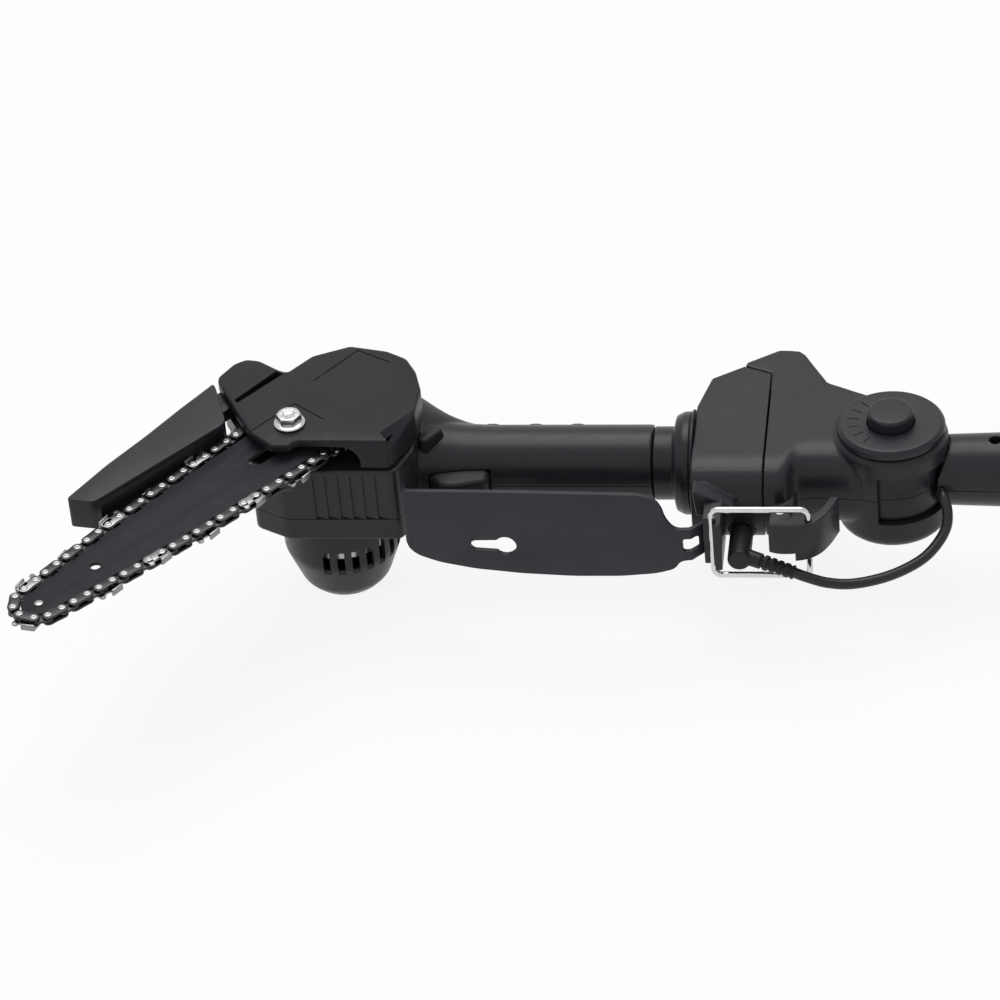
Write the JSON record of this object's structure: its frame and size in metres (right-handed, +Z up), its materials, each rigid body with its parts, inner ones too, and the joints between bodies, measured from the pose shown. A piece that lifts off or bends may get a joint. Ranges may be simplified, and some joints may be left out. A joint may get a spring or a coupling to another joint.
{
  "type": "pole saw",
  "caption": "Compact chain saw on a tilting arm and a telescoping pole, with a sprung blade guard, hand guard, draw latch, flip-lock clamps and a rear grip with a slide-in battery.",
  "frame": {"origin": "Middle of the motor cap's flat foot, which rests on the ground.", "axes": "+X runs along the pole towards the rear grip, +Z is up along the motor and sprocket shafts, -Y is the side with the triggers."},
  "size_m": [1.2659, 0.2067, 0.0975],
  "materials": {
    "shell": "satin moulded",
    "black": "matte",
    "steel": "satin",
    "dark_steel": "satin black",
    "bright": "bright",
    "tube": "anodised dark",
    "brass": "satin"
  },
  "bodies": {
    "rear_grip": {"outer_tube": "tube", "rear_clamp": "shell", "foam_sleeve": "black", "grip_left": "shell", "grip_right": "shell", "power_switch": "black", "terminal_block": "black"},
    "rear_trigger": {"rear_trigger": "black"},
    "rear_lock": {"rear_lock": "black"},
    "battery": {"battery_pack": "shell"},
    "battery_release": {"battery_release": "black"},
    "rear_clamp_lever": {"rear_lever": "shell"},
    "mid_section": {"mid_tube": "tube", "front_clamp": "shell"},
    "front_clamp_lever": {"front_lever": "shell"},
    "arm": {"inner_tube": "tube", "arm_upper": "shell", "arm_lower": "shell", "arm_set_screw": "bright"},
    "blade_guard": {"blade_guard": "shell"},
    "head_trigger": {"trigger": "black"},
    "head_lock": {"lock_button": "black"},
    "latch_lever": {"latch_lever": "shell"},
    "latch_bail": {"latch_bail": "bright"},
    "angle_button": {"angle_button": "black"},
    "rotor": {"rotor_shaft": "steel", "motor_pinion": "brass"},
    "drive": {"reduction_gear": "steel", "sprocket_shaft": "steel", "drive_sprocket": "steel", "sprocket_clip": "bright"},
    "head": {"adapter_lower": "shell", "adapter_upper": "shell", "battery_dock": "shell", "cover_bolt": "bright", "dc_plug": "black", "dc_socket": "black", "gear_plate": "dark_steel", "grip_inlay": "black", "guard_pin": "steel", "guard_screw": "dark_steel", "guard_spring": "steel", "guide_bar": "dark_steel", "hand_guard": "dark_steel", "housing_lower": "shell", "housing_upper": "shell", "latch_catch": "shell", "lever_pin": "steel", "lower_bearing": "bright", "motor_can": "bright", "motor_cap": "shell", "neck_ring": "shell", "pivot_bolt": "steel", "pivot_dial": "shell", "power_lead": "black", "saw_chain": "steel", "sprocket_cover": "shell", "trigger_switch": "black", "upper_bearing": "bright"}
  },
  "joints": [
    {"name": "mid_slide", "type": "slide", "parent": "rear_grip", "child": "mid_section", "axis": [-1, 0, 0], "range_m": [0, 0.3]},
    {"name": "inner_slide", "type": "slide", "parent": "mid_section", "child": "arm", "axis": [-1, 0, 0], "range_m": [0, 0.3]},
    {"name": "head_tilt", "type": "hinge", "parent": "arm", "child": "head", "pos_m": [0.2356, 0.0082, 0.0509], "axis": [0, 0, 1], "range_deg": [0, 60], "deforming": ["power_lead"]},
    {"name": "blade_guard_swing", "type": "hinge", "parent": "head", "child": "blade_guard", "pos_m": [-0.038, 0.021, 0.084], "axis": [0, 0, 1], "range_deg": [-35, 0], "stiffness_Nm_per_rad": 0.1, "springref_deg": 22.92},
    {"name": "trigger_pull", "type": "slide", "parent": "head", "child": "head_trigger", "axis": [0, 1, 0], "range_m": [0, 0.005], "stiffness_N_per_m": 600, "springref_m": -0.003},
    {"name": "lock_press", "type": "slide", "parent": "head", "child": "head_lock", "axis": [0, 0, -1], "range_m": [0, 0.0025], "stiffness_N_per_m": 800, "springref_m": -0.002},
    {"name": "latch_lever_swing", "type": "hinge", "parent": "head", "child": "latch_lever", "pos_m": [0.191, -0.036, 0.0509], "axis": [0, 0, 1], "range_deg": [-100, 0]},
    {"name": "latch_bail_swing", "type": "hinge", "parent": "latch_lever", "child": "latch_bail", "pos_m": [0.203, -0.042, 0.0509], "axis": [0, 0, 1], "range_deg": [0, 115.5]},
    {"name": "angle_button_press", "type": "slide", "parent": "head", "child": "angle_button", "axis": [0, 0, -1], "range_m": [0, 0.004], "stiffness_N_per_m": 1500, "springref_m": -0.002},
    {"name": "drive_spin", "type": "hinge", "parent": "head", "child": "drive", "pos_m": [0.00942, 0.01673, 0.07], "axis": [0, 0, 1], "continuous": true},
    {"name": "motor_spin", "type": "hinge", "parent": "head", "child": "rotor", "pos_m": [0, 0, 0.04], "axis": [0, 0, 1], "continuous": true},
    {"name": "rear_trigger_pull", "type": "slide", "parent": "rear_grip", "child": "rear_trigger", "axis": [0, 0, 1], "range_m": [0, 0.005], "stiffness_N_per_m": 600, "springref_m": -0.003},
    {"name": "rear_lock_press", "type": "slide", "parent": "rear_grip", "child": "rear_lock", "axis": [0, 0, -1], "range_m": [0, 0.0025], "stiffness_N_per_m": 800, "springref_m": -0.002},
    {"name": "battery_slide", "type": "slide", "parent": "rear_grip", "child": "battery", "axis": [1, 0, 0], "range_m": [0, 0.1]},
    {"name": "battery_release_press", "type": "slide", "parent": "battery", "child": "battery_release", "axis": [-1, 0, 0], "range_m": [0, 0.003], "stiffness_N_per_m": 800, "springref_m": -0.002},
    {"name": "front_lever_swing", "type": "hinge", "parent": "mid_section", "child": "front_clamp_lever", "pos_m": [0.39, -0.0135, 0.0509], "axis": [0, 0, 1], "range_deg": [-110, 0]},
    {"name": "rear_lever_swing", "type": "hinge", "parent": "rear_grip", "child": "rear_clamp_lever", "pos_m": [0.468, -0.0153, 0.0509], "axis": [0, 0, 1], "range_deg": [-110, 0]}
  ],
  "couplings": [
    {"joint": "motor_spin", "follows": "drive_spin", "ratio": -4.3333},
    {"joint": "latch_bail_swing", "follows": "latch_lever_swing", "ratio": -1.15}
  ]
}
